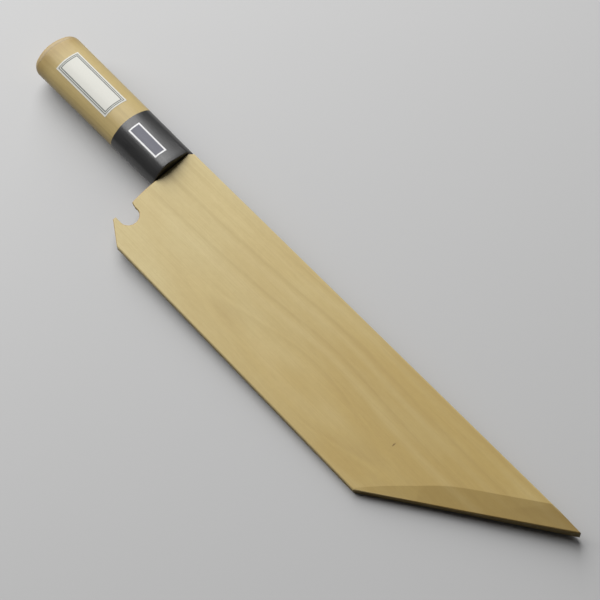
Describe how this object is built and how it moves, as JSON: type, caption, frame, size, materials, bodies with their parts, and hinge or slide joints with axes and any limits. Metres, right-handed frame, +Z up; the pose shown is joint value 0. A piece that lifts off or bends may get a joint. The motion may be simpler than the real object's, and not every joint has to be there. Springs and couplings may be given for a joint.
{
  "type": "knife blade guard",
  "caption": "Wooden blade guard (saya) with a slanted, planed tip and a round heel notch, fitted on its broad kitchen knife with a D-shaped wooden handle and black ferrule.",
  "frame": {"origin": "middle of the whole set's footprint, on the table top it rests on", "axes": "+X along the guard towards its tip, +Y towards the spine side, +Z up"},
  "size_m": [0.3914, 0.0664, 0.0247],
  "materials": {
    "guard_wood": "planed and sanded, unfinished pale magnolia",
    "strip_wood": "sawn and sanded, unfinished pale magnolia",
    "blade_steel": "ground and finely brushed",
    "ferrule_black": "satin gloss black",
    "handle_wood": "sanded smooth, unfinished pale magnolia",
    "handle_label_paper": "matt white paper with a printed double frame",
    "ferrule_label_film": "dark blue-grey sticker with a white outline"
  },
  "bodies": {
    "guard": {"front_board": "guard_wood", "back_board": "guard_wood", "spine_strip": "strip_wood", "edge_strip": "strip_wood", "tip_strip": "strip_wood"},
    "knife": {"blade": "blade_steel", "ferrule": "ferrule_black", "handle": "handle_wood", "handle_label": "handle_label_paper", "ferrule_label": "ferrule_label_film"}
  },
  "joints": [
    {"name": "knife_draw", "type": "slide", "parent": "guard", "child": "knife", "axis": [-0.9997, 0, 0.025], "range_m": [0, 0.275]}
  ]
}
